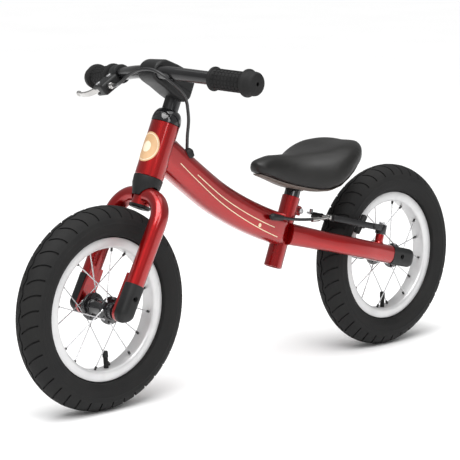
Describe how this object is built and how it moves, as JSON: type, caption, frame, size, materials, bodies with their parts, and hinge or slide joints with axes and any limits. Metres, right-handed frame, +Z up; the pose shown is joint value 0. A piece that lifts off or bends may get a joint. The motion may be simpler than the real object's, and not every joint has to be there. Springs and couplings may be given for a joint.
{
  "type": "balance bike",
  "caption": "Child's balance bike: red frame with one curved main tube, spoked wheels on air tyres, padded saddle, straight bar and a lever-worked rear rim brake.",
  "frame": {"origin": "on the ground, at the middle of the bike's length and width as measured over all nodes", "axes": "+Z up, the bike faces -Y, the rider's left is +X; +Y is the longest extent and +X the shortest"},
  "size_m": [0.4227, 0.938, 0.5172],
  "materials": {
    "red_paint": "glossy metallic red under clear coat",
    "black_rubber": "matte",
    "tyre": "matte",
    "black_plastic": "satin",
    "gloss_black": "glossy",
    "black_steel": "satin",
    "aluminium": "satin",
    "steel": "bright",
    "leatherette": "satin",
    "taupe_plastic": "matte",
    "cable_black": "satin"
  },
  "bodies": {
    "frame": {"head_tube": "red_paint", "headset_cover": "gloss_black", "headset_bearing_upper": "steel", "headset_bearing_lower": "steel", "main_tube": "red_paint", "seat_tube": "red_paint", "seat_clamp_bolt": "steel", "chainstay_left": "red_paint", "chainstay_right": "red_paint", "brake_pivot_bolt_left": "steel", "brake_pivot_bolt_right": "steel", "rear_cover_left": "black_plastic", "rear_cover_right": "black_plastic", "housing_grommet_upper": "black_rubber", "housing_grommet_lower": "black_rubber", "housing_rear": "cable_black", "rear_axle": "steel"},
    "fork": {"steerer_tube": "red_paint", "crown_cap": "black_plastic", "lower_collar": "black_plastic", "fork_leg_left": "red_paint", "fork_leg_right": "red_paint", "fork_cover_left": "black_plastic", "fork_cover_right": "black_plastic", "front_axle": "steel", "housing_lower": "cable_black"},
    "handlebar": {"quill_stem": "black_steel", "stem_bolt": "steel", "stem_cover": "black_plastic", "handlebar": "gloss_black", "grip_left": "black_rubber", "grip_right": "black_rubber", "lever_bracket": "black_plastic", "lever_pin": "steel", "lever_clamp_bolt": "steel", "barrel_adjuster": "aluminium", "housing_upper": "cable_black"},
    "brake_lever": {"lever_blade": "aluminium"},
    "front_wheel": {"front_tyre": "tyre", "front_inner_tube": "black_rubber", "front_valve_cap": "black_plastic", "front_rim": "aluminium", "front_spokes": "steel", "front_hub": "gloss_black"},
    "rear_wheel": {"rear_tyre": "tyre", "rear_inner_tube": "black_rubber", "rear_valve_cap": "black_plastic", "rear_rim": "aluminium", "rear_spokes": "steel", "rear_hub": "gloss_black"},
    "brake_left": {"brake_arm_left": "black_steel", "brake_pad_left": "black_rubber", "brake_noodle": "steel"},
    "brake_right": {"brake_arm_right": "black_steel", "brake_pad_right": "black_rubber", "brake_wire": "steel", "brake_wire_boot": "black_rubber"},
    "saddle": {"saddle_pad": "leatherette", "saddle_base": "taupe_plastic", "seat_post": "black_steel"}
  },
  "joints": [
    {"name": "steering", "type": "hinge", "parent": "frame", "child": "fork", "pos_m": [0, -0.21912, 0.34009], "axis": [0, 0.4067, 0.9135], "range_deg": [-50, 50], "deforming": ["housing_lower"]},
    {"name": "front_wheel_spin", "type": "hinge", "parent": "fork", "child": "front_wheel", "pos_m": [0, -0.315, 0.154], "axis": [1, 0, 0], "continuous": true},
    {"name": "stem_height", "type": "slide", "parent": "fork", "child": "handlebar", "axis": [0, 0.4067, 0.9135], "range_m": [0, 0.03], "deforming": ["housing_upper"]},
    {"name": "lever_squeeze", "type": "hinge", "parent": "handlebar", "child": "brake_lever", "pos_m": [-0.12249, -0.20474, 0.4643], "axis": [0.2803, 0.5157, -0.8097], "range_deg": [0, 12], "stiffness_Nm_per_rad": 0.6},
    {"name": "rear_wheel_spin", "type": "hinge", "parent": "frame", "child": "rear_wheel", "pos_m": [0, 0.315, 0.154], "axis": [1, 0, 0], "continuous": true},
    {"name": "saddle_height", "type": "slide", "parent": "frame", "child": "saddle", "axis": [0, 0.3616, 0.9323], "range_m": [0, 0.05]},
    {"name": "brake_left_swing", "type": "hinge", "parent": "frame", "child": "brake_left", "pos_m": [0.048, 0.25494, 0.21164], "axis": [0, -0.2605, -0.9655], "range_deg": [0, 3.5], "deforming": ["housing_rear"]},
    {"name": "brake_right_swing", "type": "hinge", "parent": "frame", "child": "brake_right", "pos_m": [-0.048, 0.25494, 0.21164], "axis": [0, 0.2605, 0.9655], "range_deg": [0, 3.5], "deforming": ["brake_wire_boot"]}
  ],
  "couplings": [
    {"joint": "brake_left_swing", "follows": "lever_squeeze", "ratio": 0.29166},
    {"joint": "brake_right_swing", "follows": "lever_squeeze", "ratio": 0.29166}
  ]
}
